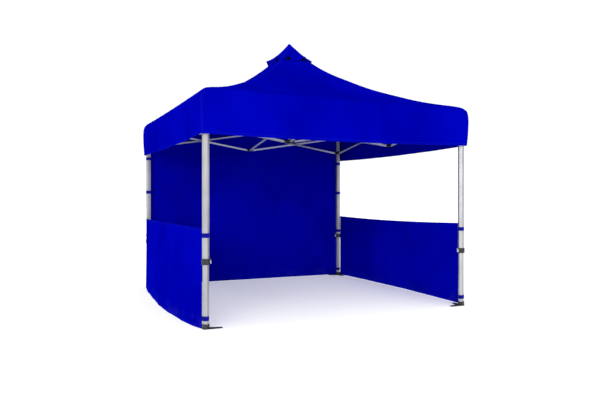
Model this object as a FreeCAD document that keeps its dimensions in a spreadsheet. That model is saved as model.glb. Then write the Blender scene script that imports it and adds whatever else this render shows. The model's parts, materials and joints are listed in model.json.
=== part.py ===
import FreeCAD, Part
import math
import os
import Sketcher
from FreeCAD import Placement, Rotation, Vector

# Pop-up canopy, 3 x 3 m, with a scissor-truss frame. Millimetres, +Z up, the ground is z = 0.
# The origin lies on the ground at the centre of the four legs, and the open front faces -Y.

DIMENSIONS = {
    # frame layout
    "leg_half": 1460,         # leg centre to the middle plane, along X and along Y
    "upper_height": 2125,     # height of the fixed truss pivots
    "lower_height": 1900,     # height of the sliding truss pivots when the frame is open
    "end_reach": 55,          # pivot to the axis of a leg or of the mast
    "middle_reach": 30,       # pivot to the centre of a mid-side connector
    # telescopic legs, hexagonal tube
    "outer_flats": 57,
    "inner_flats": 51,
    "leg_wall": 1.5,
    "outer_low": 600,
    "outer_high": 2130,
    "inner_low": 6,
    "inner_high": 860,
    "leg_play": 0.5,
    # truss bars, rectangular tube
    "bar_depth": 24,
    "bar_width": 12,
    "bar_wall": 1.2,
    "bar_gap": 1.2,
    "bar_edge": 1.5,
    # pivots
    "pin_dia": 6,
    "pin_play": 0.1,
    "pin_head_dia": 11,
    "pin_head": 2,
    "washer_dia": 21,
    "washer": 2.4,
    "side_play": 0.6,
    # plastic mouldings
    "ear": 4,
    "ear_dia": 29,
    "sleeve": 4.3,
    "sleeve_tall": 44,
    "block": 34.4,
    "block_tall": 34,
    "hub_dia": 68,
    "hub_tall": 42,
    "cap": 6,
    # collar and lock lever at the foot of the outer leg
    "collar_low": 587,
    "collar_tall": 56,
    "collar_flats": 69,
    "lever_wide": 17,
    "lever_tall": 40,
    "lever_thick": 8,
    "lever_gap": 5.5,
    "lever_pin": 4,
    "lever_pivot_drop": 10,
    "nose_dia": 8,
    "nose_drop": 24,
    # foot
    "foot_reach": 155,
    "foot_back": 30,
    "foot_tip": 36,
    "foot_inner": 40,
    "foot_round": 8,
    "foot_plate": 6,
    "foot_socket": 40,
    "foot_flats": 60,
    "stake_dia": 10,
    "stake_inset": 21,
    # telescopic mast
    "mast_dia": 32,
    "mast_inner_dia": 25,
    "mast_wall": 1.5,
    "mast_play": 0.5,
    "mast_low": 1945,
    "mast_high": 3078,
    "mast_inner_high": 2850,
    "mast_bush": 30,
    # fabric
    "cloth": 1,
    "hem_half": 1512,
    "hem_height": 1783,
    "eave_half": 1524,
    "eave_height": 2130,
    "shoulder_half": 1475,
    "shoulder_height": 2203,
    "low_roof_half": 1140,
    "low_roof_height": 2300,
    "mid_roof_half": 720,
    "mid_roof_height": 2488,
    "high_roof_half": 360,
    "high_roof_height": 2715,
    "vent_half": 180,
    "vent_height": 2875,
    "cap_half": 215,
    "cap_low": 2900,
    "cap_high": 3106,
    "cap_tip": 5,
    "wall_low": 20,
    "half_wall_high": 920,
    "half_wall_out": 1503,
    "back_wall_high": 2100,
    "back_wall_out": 1505,
    "wall_half": 1490,
    # hook-and-loop straps that tie the walls to the legs
    "strap": 1.5,
    "strap_tall": 42,
    "strap_play": 0.5,
    "strap_tab": 20,
    "strap_foot": 97,
    "strap_counter": 855,
    "strap_knee": 693,
    "strap_chest": 1280,
    "strap_head": 1735,
}

BAR_SPAN = "(sheet.leg_half - sheet.end_reach - sheet.middle_reach)"
BAR_RISE = "(sheet.upper_height - sheet.lower_height)"
BAR_LENGTH = f"sqrt({BAR_SPAN}^2 + {BAR_RISE}^2)"
BAR_PLANE = "(sheet.bar_width / 2 + sheet.bar_gap / 2)"
SLOT_WIDTH = "(sheet.bar_width + 2 * sheet.side_play)"
FLATS_TO_RADIUS = "/ sqrt(3)"
SLEEVE_FLATS = "(sheet.outer_flats + 2 * sheet.sleeve)"
LEVER_ROOT = "(sheet.collar_flats / 2 + sheet.lever_gap)"
LEVER_AXIS = f"({LEVER_ROOT} + sheet.lever_thick / 2)"
LEVER_HEIGHT = "(sheet.collar_low + sheet.collar_tall - sheet.lever_pivot_drop)"
NOSE_HEIGHT = f"({LEVER_HEIGHT} - sheet.nose_drop)"

doc = FreeCAD.newDocument("pop_up_canopy")
sheet = doc.addObject("Spreadsheet::Sheet", "sheet")
for row, (alias, value) in enumerate(DIMENSIONS.items(), start=1):
    sheet.set(f"A{row}", alias)
    sheet.set(f"B{row}", str(value))
    sheet.setAlias(f"B{row}", alias)
doc.recompute()


def size(alias):
    """A driving dimension, as a number."""
    return float(sheet.get(alias))


def bind(item, **expressions):
    """Binds properties to the sheet. A double underscore in a name stands for a dot."""
    for name, expression in expressions.items():
        item.setExpression(name.replace("__", "."), str(expression))
    return item


def shape_of(kind, name, place, **expressions):
    """A Part primitive whose sizes and position are bound to the sheet."""
    item = doc.addObject(f"Part::{kind}", name)
    for axis, expression in zip("xyz", place):
        item.setExpression(f"Placement.Base.{axis}", str(expression))
    return bind(item, **expressions)


def turned(item, axis, angle):
    """Turns an object about its own base point."""
    item.Placement = Placement(item.Placement.Base, Rotation(axis, angle))
    return item


def fused(name, items):
    item = doc.addObject("Part::MultiFuse", name)
    item.Shapes = items
    return item


def less(name, base, tools):
    """base with the tools cut out of it."""
    item = doc.addObject("Part::Cut", name)
    item.Base = base
    item.Tool = tools[0] if len(tools) == 1 else fused(name + "_tools", tools)
    return item


def grouped(name, items):
    """Separate solids that stay separate."""
    item = doc.addObject("Part::Compound", name)
    item.Links = items
    return item


def hexagon(name, low, tall, flats):
    """A hexagonal prism about the Z axis, with a corner towards +X."""
    item = shape_of(
        "Prism", name, (0, 0, low), Circumradius=f"{flats} {FLATS_TO_RADIUS}", Height=tall
    )
    item.Polygon = 6
    return item


def round_bar(name, place, axis, dia, length):
    """A cylinder from a place, along +X, +Y or +Z."""
    item = shape_of("Cylinder", name, place, Radius=f"({dia}) / 2", Height=length)
    turns = {"X": (Vector(0, 1, 0), 90), "Y": (Vector(1, 0, 0), -90)}
    return turned(item, *turns[axis]) if axis in turns else item


def box(name, place, length, width, height):
    return shape_of("Box", name, place, Length=length, Width=width, Height=height)


# ---- truss bars ------------------------------------------------------------------------------


def plane_of(body, role):
    return next(f for f in body.Origin.OriginFeatures if f.Role == role)


def sketch_on(body, role, name):
    sketch = body.newObject("Sketcher::SketchObject", name)
    sketch.AttachmentSupport = [(plane_of(body, role), "")]
    sketch.MapMode = "FlatFace"
    return sketch


def bar_tube(name):
    """A rectangular tube with half-round ends, along +X from its first pivot at the origin."""
    body = doc.addObject("PartDesign::Body", name)
    outline = sketch_on(body, "XZ_Plane", name + "_outline")
    length, half = 1000.0, 10.0
    for start, end in (((0, half), (length, half)), ((0, -half), (length, -half))):
        outline.addGeometry(Part.LineSegment(Vector(*start, 0), Vector(*end, 0)))
    for centre, first in ((0, 90), (length, 270)):
        circle = Part.Circle(Vector(centre, 0, 0), Vector(0, 0, 1), half)
        start = math.radians(first)
        outline.addGeometry(Part.ArcOfCircle(circle, start, start + math.pi))
    constraint = Sketcher.Constraint
    joins = [(0, 1, 2, 1), (1, 1, 2, 2), (1, 2, 3, 1), (0, 2, 3, 2)]
    for join in joins:
        outline.addConstraint(constraint("Tangent", *join))
    outline.addConstraint(constraint("Equal", 2, 3))
    outline.addConstraint(constraint("Coincident", 2, 3, -1, 1))
    outline.addConstraint(constraint("PointOnObject", 3, 3, -1))
    outline.renameConstraint(
        outline.addConstraint(constraint("DistanceX", 2, 3, 3, 3, length)), "length"
    )
    outline.renameConstraint(outline.addConstraint(constraint("Radius", 2, half)), "end")
    bind(outline, Constraints__length=BAR_LENGTH, Constraints__end="sheet.bar_depth / 2")
    pad = body.newObject("PartDesign::Pad", name + "_pad")
    pad.Profile = outline
    pad.SideType = "Symmetric"
    bind(pad, Length="sheet.bar_width")
    doc.recompute()

    fillet = body.newObject("PartDesign::Fillet", name + "_edges")
    rims = [
        f"Edge{number}"
        for number, edge in enumerate(pad.Shape.Edges, start=1)
        if abs(edge.BoundBox.YMax - edge.BoundBox.YMin) < 1e-6
    ]
    fillet.Base = (pad, rims)
    bind(fillet, Radius="sheet.bar_edge")

    hollow = sketch_on(body, "YZ_Plane", name + "_hollow")
    corners = [(-4, -9), (4, -9), (4, 9), (-4, 9)]
    for start, end in zip(corners, corners[1:] + corners[:1]):
        hollow.addGeometry(Part.LineSegment(Vector(*start, 0), Vector(*end, 0)))
    for line in range(4):
        hollow.addConstraint(constraint("Coincident", line, 2, (line + 1) % 4, 1))
    for line, way in enumerate(("Horizontal", "Vertical", "Horizontal", "Vertical")):
        hollow.addConstraint(constraint(way, line))
    hollow.addConstraint(constraint("Symmetric", 0, 1, 2, 1, -1, 1))
    hollow.renameConstraint(
        hollow.addConstraint(constraint("DistanceX", 0, 1, 0, 2, 8)), "wide"
    )
    hollow.renameConstraint(
        hollow.addConstraint(constraint("DistanceY", 1, 1, 1, 2, 18)), "deep"
    )
    bind(
        hollow,
        Constraints__wide="sheet.bar_width - 2 * sheet.bar_wall",
        Constraints__deep="sheet.bar_depth - 2 * sheet.bar_wall",
    )
    bore = body.newObject("PartDesign::Pocket", name + "_bore")
    bore.Profile = hollow
    bore.SideType = "Symmetric"
    bore.Type = "ThroughAll"
    doc.recompute()
    body.Tip = bore
    return body


def bar(name, with_pivot):
    """A bar with its three pivot holes. The low bars also carry the crossing rivet and washers."""
    hole = "sheet.pin_dia + 2 * sheet.pin_play"
    crossing = "sheet.pin_dia" if with_pivot else hole
    stations = {"near": ("0", hole), "middle": (f"{BAR_LENGTH} / 2", crossing)}
    stations["far"] = (BAR_LENGTH, hole)
    holes = [
        round_bar(f"{name}_{where}_hole", (at, "-sheet.bar_width", 0), "Y", dia,
                  "2 * sheet.bar_width")
        for where, (at, dia) in stations.items()
    ]
    tube = less(name + "_drilled", bar_tube(name + "_tube"), holes)
    if not with_pivot:
        return [tube]
    # the low bar lies on the -Y side of its truss plane, and the rivet reaches through both bars
    middle = f"{BAR_LENGTH} / 2"
    near_face = "-sheet.bar_width / 2"
    reach = "(2 * sheet.bar_width + sheet.bar_gap + 2 * sheet.washer)"
    shank = round_bar(name + "_shank", (middle, f"{near_face} - sheet.washer", 0), "Y",
                      "sheet.pin_dia", reach)
    heads = [
        round_bar(f"{name}_head_{n}", (middle, at, 0), "Y", "sheet.pin_head_dia",
                  "sheet.pin_head")
        for n, at in enumerate((
            f"{near_face} - sheet.washer - sheet.pin_head",
            f"{near_face} - sheet.washer + {reach}",
        ))
    ]
    rivet = fused(name + "_rivet", [shank, *heads])
    spots = {
        "outer": (f"{near_face} - sheet.washer", "sheet.washer"),
        "between": ("sheet.bar_width / 2", "sheet.bar_gap - sheet.pin_play"),
        "far": ("1.5 * sheet.bar_width + sheet.bar_gap + sheet.pin_play",
                "sheet.washer - sheet.pin_play"),
    }
    washers = []
    for where, (at, thick) in spots.items():
        disc = round_bar(f"{name}_{where}_disc", (middle, at, 0), "Y", "sheet.washer_dia", thick)
        eye = round_bar(f"{name}_{where}_eye", (middle, at, 0), "Y", "sheet.pin_dia", thick)
        washers.append(less(f"{name}_{where}_washer", disc, [eye]))
    return [tube, rivet, *washers]


# ---- plastic connectors ----------------------------------------------------------------------


def arm(name, root, reach, side, angle):
    """Two ears that hold a bar's end, their pin, and the pin's hole. side is the bar's side, 1 or -1."""
    middle = f"({side} * {BAR_PLANE})"
    outer = f"({middle} - {SLOT_WIDTH} / 2 - sheet.ear)"
    across = f"({SLOT_WIDTH} + 2 * sheet.ear)"
    ears = []
    for where, at in {"right": outer, "left": f"{middle} + {SLOT_WIDTH} / 2"}.items():
        ears.append(box(f"{name}_{where}_plate", (root, at, "-sheet.ear_dia / 2"),
                        f"{reach} - {root}", "sheet.ear", "sheet.ear_dia"))
        ears.append(round_bar(f"{name}_{where}_tip", (reach, at, 0), "Y", "sheet.ear_dia",
                              "sheet.ear"))
    pin = [
        round_bar(name + "_shank", (reach, f"{outer} - sheet.pin_head", 0), "Y",
                  "sheet.pin_dia", f"{across} + 2 * sheet.pin_head"),
        round_bar(name + "_head_right", (reach, f"{outer} - sheet.pin_head", 0), "Y",
                  "sheet.pin_head_dia", "sheet.pin_head"),
        round_bar(name + "_head_left", (reach, f"{outer} + {across}", 0), "Y",
                  "sheet.pin_head_dia", "sheet.pin_head"),
    ]
    drill = round_bar(name + "_drill", (reach, outer, 0), "Y", "sheet.pin_dia", across)
    found = fused(name + "_ears", ears), fused(name + "_pin", pin), grouped(name + "_hole", [drill])
    return [turned(item, Vector(0, 0, 1), angle) for item in found]


def connector(name, core, arms, bores=()):
    """A moulding from its core and its arms, each arm as (root, reach, side, angle), and its pins."""
    made = [arm(f"{name}_arm_{number}", *plan) for number, plan in enumerate(arms)]
    blank = fused(name + "_blank", [core] + [ears for ears, pin, hole in made])
    moulding = less(name + "_moulding", blank, [*bores, *(hole for ears, pin, hole in made)])
    return [moulding] + [pin for ears, pin, hole in made]


def corner_arms(side):
    """The two arms of a corner piece, towards the middles of its two sides."""
    root, reach = "sheet.outer_flats / 2", "sheet.end_reach"
    return [(root, reach, side, 180), (root, reach, -side, 90)]


def middle_connector(name, side):
    """The block at the middle of a side: two arms along the side and one towards the mast."""
    core = box(name + "_core", ("-sheet.block / 2", "-sheet.block / 2", "-sheet.block_tall / 2"),
               "sheet.block", "sheet.block", "sheet.block_tall")
    root, reach = "sheet.block / 2 - sheet.ear", "sheet.middle_reach"
    return connector(name, core, [(root, reach, side, 0), (root, reach, -side, 180),
                                  (root, reach, side, 90)])


def hub(name, side, bore_dia, bore_low):
    """The round hub at the mast, with one arm towards each side."""
    core = round_bar(name + "_core", (0, 0, "-sheet.hub_tall / 2"), "Z", "sheet.hub_dia",
                     "sheet.hub_tall")
    bore = round_bar(name + "_bore", (0, 0, bore_low), "Z", bore_dia, "2 * sheet.hub_tall")
    root, reach = "sheet.hub_dia / 2 - sheet.ear", "sheet.end_reach"
    arms = [(root, reach, side, quarter * 90) for quarter in range(4)]
    return connector(name, core, arms, [bore])


def leg_hexagon(name, low, tall, flats):
    """A hexagonal prism with the leg's turn: one corner points straight out of the frame's corner."""
    return turned(hexagon(name, low, tall, flats), Vector(0, 0, 1), -45)


def slider(name):
    """The corner piece that runs up and down the outer leg."""
    core = leg_hexagon(name + "_core", "-sheet.ear_dia / 2", "sheet.sleeve_tall", SLEEVE_FLATS)
    bore = leg_hexagon(name + "_bore", "-sheet.sleeve_tall", "3 * sheet.sleeve_tall",
                       "(sheet.outer_flats + 2 * sheet.leg_play)")
    return connector(name, core, corner_arms(-1), [bore])


def leg_fittings(name, lever_angle):
    """The top bracket with its cap, and the collar at the outer leg's lower end, about the leg's axis."""
    low = "(sheet.outer_high - sheet.sleeve_tall)"
    core = leg_hexagon(name + "_core", low, "sheet.sleeve_tall + sheet.cap", SLEEVE_FLATS)
    bore = leg_hexagon(name + "_bore", low, "sheet.sleeve_tall", "sheet.outer_flats")
    made = [arm(f"{name}_arm_{number}", *plan) for number, plan in enumerate(corner_arms(1))]
    for item in [item for pieces in made for item in pieces]:
        bind(item, Placement__Base__z="sheet.upper_height")
    blank = fused(name + "_blank", [core] + [ears for ears, pin, hole in made])
    bracket = less(name + "_bracket", blank, [bore] + [hole for ears, pin, hole in made])
    return [bracket] + [pin for ears, pin, hole in made] + collar(name + "_collar", lever_angle)


def collar(name, lever_angle):
    """The clamp that closes the outer leg's lower end round the inner leg, and the lever's pin."""
    body = leg_hexagon(name + "_body", "sheet.collar_low", "sheet.collar_tall",
                       "sheet.collar_flats")
    seat = leg_hexagon(name + "_seat", "sheet.outer_low", "sheet.collar_tall",
                       "sheet.outer_flats")
    throat = leg_hexagon(name + "_throat", "sheet.collar_low - 1", "sheet.collar_tall",
                         "(sheet.inner_flats + 2 * sheet.leg_play)")
    lug_face = "(sheet.lever_wide / 2 + sheet.side_play)"
    lugs = [
        box(f"{name}_lug_{where}", ("sheet.outer_flats / 2 + 2", at, f"{LEVER_HEIGHT} - 8"),
            f"{LEVER_ROOT} + sheet.lever_thick - sheet.outer_flats / 2 - 2", "sheet.ear", 16)
        for where, at in {"right": f"-{lug_face} - sheet.ear", "left": lug_face}.items()
    ]
    pin_place = (LEVER_AXIS, f"-{lug_face} - sheet.ear", LEVER_HEIGHT)
    pin_length = f"2 * {lug_face} + 2 * sheet.ear"
    pin = round_bar(name + "_pin", pin_place, "Y", "sheet.lever_pin", pin_length)
    eye = round_bar(name + "_eye", pin_place, "Y", "sheet.lever_pin", pin_length)
    window = round_bar(name + "_window", ("sheet.outer_flats / 2 - 6", 0, NOSE_HEIGHT), "X",
                       "sheet.nose_dia + 6", "sheet.collar_flats")
    lug_pair = fused(name + "_lugs", lugs)
    tools = [grouped(name + "_eye_tool", [eye]), grouped(name + "_window_tool", [window])]
    pins = grouped(name + "_pins", [pin])
    for item in (lug_pair, pins, *tools):
        turned(item, Vector(0, 0, 1), lever_angle)
    blank = fused(name + "_blank", [body, lug_pair])
    return [less(name, blank, [seat, throat, *tools]), pins]


def lock_lever(name, lever_angle):
    """The sprung lever on the collar: a plate on the pin, with a lip to pull and a nose to lock."""
    plate = box(name + "_plate", (LEVER_ROOT, "-sheet.lever_wide / 2",
                                  f"{LEVER_HEIGHT} + 6 - sheet.lever_tall"),
                "sheet.lever_thick", "sheet.lever_wide", "sheet.lever_tall")
    lip = box(name + "_lip", (f"{LEVER_ROOT} + sheet.lever_thick / 2", "-sheet.lever_wide / 2",
                              f"{LEVER_HEIGHT} + 6 - sheet.lever_tall"),
              "sheet.lever_thick", "sheet.lever_wide", "sheet.lever_thick / 2")
    nose = round_bar(name + "_nose", ("sheet.outer_flats / 2 + 5", 0, NOSE_HEIGHT), "X",
                     "sheet.nose_dia", f"{LEVER_ROOT} - sheet.outer_flats / 2 - 4")
    eye = round_bar(name + "_eye", (LEVER_AXIS, "-sheet.lever_wide", LEVER_HEIGHT), "Y",
                    "sheet.lever_pin + 2 * sheet.pin_play", "2 * sheet.lever_wide")
    lever = less(name + "_drilled", fused(name + "_blank", [plate, lip, nose]), [eye])
    return [turned(lever, Vector(0, 0, 1), lever_angle)]


# ---- legs, feet and mast ---------------------------------------------------------------------


def hexagonal_tube(name, low, high, flats):
    outside = leg_hexagon(name + "_outside", low, f"{high} - {low}", flats)
    inside = leg_hexagon(name + "_inside", low, f"{high} - {low}",
                         f"({flats} - 2 * sheet.leg_wall)")
    return less(name, outside, [inside])


def foot(name):
    """The foot plate, with one tapered arm towards each neighbouring leg, and its leg socket."""
    body = doc.addObject("PartDesign::Body", name)
    outline = sketch_on(body, "XY_Plane", name + "_outline")
    reach, back = size("foot_reach"), size("foot_back")
    tip, inner = size("foot_tip"), size("foot_inner")
    half_outline = [(back, -back), (-reach, -back), (-reach, tip - back)]
    mirrored = [(-y, -x) for x, y in reversed(half_outline[1:])]
    corners = half_outline + [(-inner, inner)] + mirrored
    count = len(corners)
    for start, end in zip(corners, corners[1:] + corners[:1]):
        outline.addGeometry(Part.LineSegment(Vector(*start, 0), Vector(*end, 0)))
    for line in range(count):
        outline.addConstraint(
            Sketcher.Constraint("Coincident", line, 2, (line + 1) % count, 1)
        )
    places = {
        0: ("sheet.foot_back", "-sheet.foot_back"),
        1: ("-sheet.foot_reach", "-sheet.foot_back"),
        2: ("-sheet.foot_reach", "sheet.foot_tip - sheet.foot_back"),
        3: ("-sheet.foot_inner", "sheet.foot_inner"),
        4: ("sheet.foot_back - sheet.foot_tip", "sheet.foot_reach"),
        5: ("sheet.foot_back", "sheet.foot_reach"),
    }
    for line, (across, along) in places.items():
        for way, expression, value in (("X", across, corners[line][0]),
                                       ("Y", along, corners[line][1])):
            label = f"corner_{line}_{way}"
            outline.renameConstraint(
                outline.addConstraint(
                    Sketcher.Constraint(f"Distance{way}", -1, 1, line, 1, value)
                ),
                label,
            )
            outline.setExpression(f"Constraints.{label}", expression)
    pad = body.newObject("PartDesign::Pad", name + "_plate")
    pad.Profile = outline
    bind(pad, Length="sheet.foot_plate")
    doc.recompute()
    rounding = body.newObject("PartDesign::Fillet", name + "_corners")
    upright = [
        f"Edge{number}"
        for number, edge in enumerate(pad.Shape.Edges, start=1)
        if edge.BoundBox.ZLength > size("foot_plate") / 2
    ]
    rounding.Base = (pad, upright)
    bind(rounding, Radius="sheet.foot_round")
    doc.recompute()
    body.Tip = rounding

    socket = leg_hexagon(name + "_socket", 0, "sheet.foot_plate + sheet.foot_socket",
                         "sheet.foot_flats")
    well = leg_hexagon(name + "_well", "sheet.foot_plate", "sheet.foot_socket",
                       "sheet.inner_flats")
    along = "(sheet.foot_reach - sheet.stake_inset)"
    across = "(sheet.foot_back - sheet.foot_tip / 2)"
    holes = [
        round_bar(f"{name}_stake_{number}", (x, y, 0), "Z", "sheet.stake_dia",
                  "sheet.foot_plate")
        for number, (x, y) in enumerate(((f"-{along}", f"-{across}"), (across, along)))
    ]
    return less(name + "_drilled", fused(name + "_blank", [body, socket]), [well, *holes])


def ring(name, low, tall, outer_dia, inner_dia):
    outside = round_bar(name + "_outside", (0, 0, low), "Z", outer_dia, tall)
    inside = round_bar(name + "_inside", (0, 0, low), "Z", inner_dia, tall)
    return less(name, outside, [inside])


def upper_mast(name):
    """The tube that slides over the lower mast, with its bush and its rounded head."""
    hollow = "(sheet.mast_dia - 2 * sheet.mast_wall)"
    tube = ring(name + "_tube", "sheet.mast_low", "sheet.mast_high - sheet.mast_low",
                "sheet.mast_dia", hollow)
    bush = ring(name + "_bush", "sheet.mast_low", "sheet.mast_bush", hollow,
                "(sheet.mast_inner_dia + 2 * sheet.mast_play)")
    head = shape_of("Sphere", name + "_head", (0, 0, "sheet.mast_high"),
                    Radius="sheet.mast_dia / 2")
    head.Angle1 = 0
    return [tube, bush, head]


def lower_hub(name):
    """The lower hub with the lower mast standing in its bore. Heights are from the truss pivots."""
    seat = "(sheet.cap - sheet.hub_tall / 2)"
    mast = ring(name + "_mast", seat, f"sheet.mast_inner_high - sheet.lower_height - {seat}",
                "sheet.mast_inner_dia", "(sheet.mast_inner_dia - 2 * sheet.mast_wall)")
    return hub(name, -1, "sheet.mast_inner_dia", seat) + [mast]


# ---- fabric ----------------------------------------------------------------------------------


def square_skin(name, outline, base_inset, top_inset):
    """A thin square skin through (half width, height) pairs of aliases, each inset by the cloth."""
    lofts = []
    for which in ("outer", "inner"):
        sections = []
        for number, (half, height) in enumerate(outline):
            inset, drop = (0, 0)
            if which == "inner":
                inset = "sheet.cloth"
                drop = "sheet.cloth"
                if number == 0:
                    drop = base_inset
                if number == len(outline) - 1:
                    drop = top_inset
            square = shape_of(
                "RegularPolygon", f"{name}_{which}_{number}", (0, 0, f"sheet.{height} - {drop}"),
                Circumradius=f"(sheet.{half} - {inset}) * sqrt(2)")
            square.Polygon = 4
            sections.append(turned(square, Vector(0, 0, 1), 45))
        loft = doc.addObject("Part::Loft", f"{name}_{which}")
        loft.Sections = sections
        loft.Solid = True
        loft.Ruled = True
        lofts.append(loft)
    return less(name + "_skin", lofts[0], lofts[1:])


def canopy_skin(name):
    """The canopy: a valance all round, the eave, and the four slopes up to the vent opening."""
    rows = ("hem", "eave", "shoulder", "low_roof", "mid_roof", "high_roof", "vent")
    return square_skin(name, [(f"{row}_half", f"{row}_height") for row in rows], 0, 0)


def vent_cap_skin(name):
    """The small pyramid over the vent opening."""
    outline = [("cap_half", "cap_low"), ("cap_tip", "cap_high")]
    return square_skin(name, outline, 0, "2 * sheet.cloth")


def strap(name, end, height, flats, out):
    """A strap round the leg at one end of a wall, closed on itself, with its tab sewn to the wall."""
    place = ("sheet.leg_half", f"{end} * sheet.leg_half", f"{height} - sheet.strap_tall / 2")
    inside = f"({flats} + 2 * sheet.strap_play)"
    loops = []
    for which, across in (("outside", f"({inside} + 2 * sheet.strap)"), ("inside", inside)):
        prism = shape_of("Prism", f"{name}_{which}", place, Height="sheet.strap_tall",
                         Circumradius=f"{across} {FLATS_TO_RADIUS}")
        prism.Polygon = 6
        loops.append(turned(prism, Vector(0, 0, 1), 45 * end))
    root = "(sheet.leg_half + sheet.inner_flats / 3)"
    tab = box(name + "_tab", (root, f"{place[1]} - sheet.strap_tab / 2", place[2]),
              f"{out} - {root}", "sheet.strap_tab", "sheet.strap_tall")
    return less(name, fused(name + "_blank", [loops[0], tab]), loops[1:])


def wall_panel(name, out, high, ends, leg_straps):
    """A wall hung in the plane X = out between two legs, and its straps at the given ends."""
    panel = box(name, (f"sheet.{out}", "-sheet.wall_half", "sheet.wall_low"), "sheet.cloth",
                "2 * sheet.wall_half", f"sheet.{high} - sheet.wall_low")
    heights = {"foot": "sheet.inner_flats"} | {at: "sheet.outer_flats" for at in leg_straps}
    straps = [
        strap(f"{name}_{at}_strap_{number}", end, f"sheet.strap_{at}", flats, f"sheet.{out}")
        for number, end in enumerate(ends, start=1)
        for at, flats in heights.items()
    ]
    return [panel, *straps]


# ---- assembly --------------------------------------------------------------------------------

SIDES = ("front", "right", "back", "left")
CORNERS = ("front_right", "back_right", "back_left", "front_left")
# the two halves of each side, first the half that ends at its own corner
HALVES = {"front": ("right", "left"), "right": ("back", "front"),
          "back": ("left", "right"), "left": ("front", "back")}
nodes = []


def node(label, pieces, quarter=0, place=(0, 0, 0), heading=0, climb=0):
    """One named sub-part: its pieces turned and set in place, then turned to its side of the frame."""
    item = grouped(label, pieces)
    item.Label = label
    own_turn = Rotation(Vector(0, 0, 1), heading).multiply(Rotation(Vector(0, 1, 0), -climb))
    side_turn = Placement(Vector(), Rotation(Vector(0, 0, 1), 90 * quarter))
    item.Placement = side_turn.multiply(Placement(Vector(*place), own_turn))
    nodes.append(item)
    return item


def build():
    leg, end, middle = size("leg_half"), size("end_reach"), size("middle_reach")
    upper, lower = size("upper_height"), size("lower_height")
    offset = (size("bar_width") + size("bar_gap")) / 2
    climb = math.degrees(math.atan2(upper - lower, leg - end - middle))

    low_bar, high_bar = bar("low_bar", True), bar("high_bar", False)
    upper_middle = middle_connector("upper_connector", 1)
    lower_middle = middle_connector("lower_connector", -1)
    corner_slider = slider("corner_slider")
    outer_leg = hexagonal_tube("outer_tube", "sheet.outer_low", "sheet.outer_high",
                               "sheet.outer_flats")
    inner_leg = hexagonal_tube("inner_tube", "sheet.inner_low", "sheet.inner_high",
                               "sheet.inner_flats")
    leg_foot = foot("leg_foot")
    # the levers of two corners hang on the side towards -X before their turn, the others towards +Y
    fittings = {angle: leg_fittings(f"fittings_{angle}", angle) for angle in (180, 90)}
    levers = {angle: lock_lever(f"lever_{angle}", angle) for angle in (180, 90)}

    mast_bore = "(sheet.mast_dia + 2 * sheet.mast_play)"
    node("upper_hub", hub("top_hub", 1, mast_bore, "-sheet.hub_tall"), place=(0, 0, upper))
    node("lower_hub", lower_hub("sliding_hub"), place=(0, 0, lower))
    node("upper_mast", upper_mast("roof_mast"))

    for quarter, (side, corner) in enumerate(zip(SIDES, CORNERS)):
        node(f"upper_middle_{side}", upper_middle, quarter, (0, -leg, upper))
        node(f"lower_middle_{side}", lower_middle, quarter, (0, -leg, lower))
        node(f"inner_low_bar_{side}", low_bar, quarter, (-offset, -end, lower), -90, climb)
        node(f"inner_high_bar_{side}", high_bar, quarter, (offset, -end, upper), -90, -climb)
        own, other = HALVES[side]
        inside, outside = -leg + offset, -leg - offset
        node(f"low_bar_{side}_{own}", low_bar, quarter, (leg - end, inside, lower), 180, climb)
        node(f"high_bar_{side}_{own}", high_bar, quarter, (leg - end, outside, upper), 180, -climb)
        node(f"low_bar_{side}_{other}", low_bar, quarter, (-middle, inside, upper), 180, -climb)
        node(f"high_bar_{side}_{other}", high_bar, quarter, (-middle, outside, lower), 180, climb)

        at_leg = (leg, -leg, 0)
        lever_angle = 180 if quarter % 2 == 0 else 90
        node(f"slider_{corner}", corner_slider, quarter, (leg, -leg, lower))
        node(f"outer_leg_{corner}", [outer_leg], quarter, at_leg)
        node(f"leg_fittings_{corner}", fittings[lever_angle], quarter, at_leg)
        node(f"lock_lever_{corner}", levers[lever_angle], quarter, at_leg)
        node(f"inner_leg_{corner}", [inner_leg, leg_foot], quarter, at_leg)

    node("canopy", [canopy_skin("roof")])
    node("vent_cap", [vent_cap_skin("cap")])
    # each half wall is tied at its front end, which is the other end once it is turned to the left
    for side, front_end, quarter in (("right", -1, 0), ("left", 1, 2)):
        pieces = wall_panel(f"{side}_panel", "half_wall_out", "half_wall_high", (front_end,),
                            ("counter",))
        node(f"half_wall_{side}", pieces, quarter)
    pieces = wall_panel("back_panel", "back_wall_out", "back_wall_high", (-1, 1),
                        ("knee", "chest", "head"))
    node("back_wall", pieces, 1)


def check_and_write():
    doc.recompute()
    failed = [item.Name for item in doc.Objects if {"Invalid", "Error"} & set(item.State)]
    bad = [item.Label for item in nodes if item.Shape.isNull() or not item.Shape.isValid()]
    if failed or bad:
        raise RuntimeError(f"failed objects {failed}, bad shapes {bad}")
    os.makedirs("parts", exist_ok=True)
    for item in nodes:
        item.Shape.exportStep(f"parts/{item.Label}.step")


build()
check_and_write()
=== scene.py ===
import json
import math

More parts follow.
